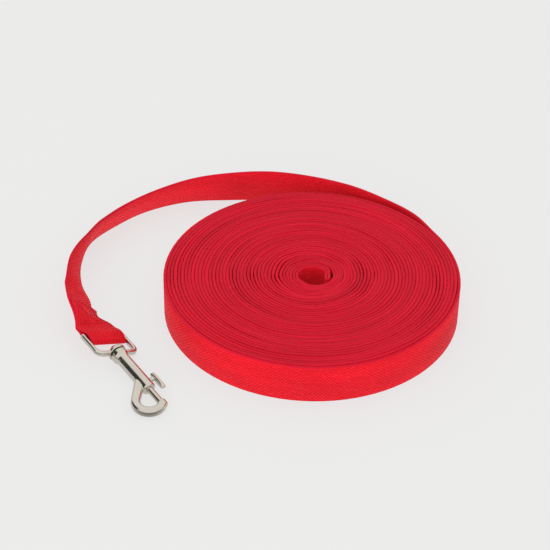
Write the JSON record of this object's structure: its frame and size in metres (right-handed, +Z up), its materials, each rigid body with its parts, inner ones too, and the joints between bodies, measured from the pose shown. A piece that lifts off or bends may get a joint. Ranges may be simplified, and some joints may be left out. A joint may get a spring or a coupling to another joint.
{
  "type": "training leash",
  "caption": "Long flat webbing dog leash wound on edge into a round coil, with a sewn hand loop at the centre and a sewn-on swivel bolt snap.",
  "frame": {"origin": "centre of the coil's underside, on the floor", "axes": "+Z up along the coil's axis; +X to the right and +Y to the back when the snap is at the front left"},
  "size_m": [0.1918, 0.1798, 0.0201],
  "materials": {
    "red_webbing": "woven",
    "red_thread": "matt",
    "nickel_plate": "polished",
    "spring_steel": "bright"
  },
  "bodies": {
    "leash": {"webbing_coil": "red_webbing", "hand_loop": "red_webbing", "hand_loop_stitching": "red_thread", "webbing_tail": "red_webbing", "webbing_sewn_layer": "red_webbing", "webbing_end_loop": "red_webbing", "end_stitching": "red_thread"},
    "eye": {"swivel_eye": "nickel_plate"},
    "snap": {"snap_body": "nickel_plate", "swivel_post": "spring_steel", "bolt_spring": "spring_steel"},
    "bolt": {"bolt": "nickel_plate", "thumb_stud": "nickel_plate"}
  },
  "joints": [
    {"name": "eye_fold", "type": "hinge", "parent": "leash", "child": "eye", "pos_m": [-0.09878, -0.03404, 0.00669], "axis": [-0.7405, -0.558, 0.3746], "range_deg": [0, 120]},
    {"name": "snap_swivel", "type": "hinge", "parent": "eye", "child": "snap", "pos_m": [-0.09027, -0.0461, 0.00555], "axis": [0.5747, -0.8147, -0.0776], "continuous": true},
    {"name": "bolt_draw", "type": "slide", "parent": "snap", "child": "bolt", "axis": [-0.5747, 0.8147, 0.0776], "range_m": [0, 0.008], "stiffness_N_per_m": 400, "springref_m": -0.006, "deforming": ["bolt_spring"]}
  ]
}
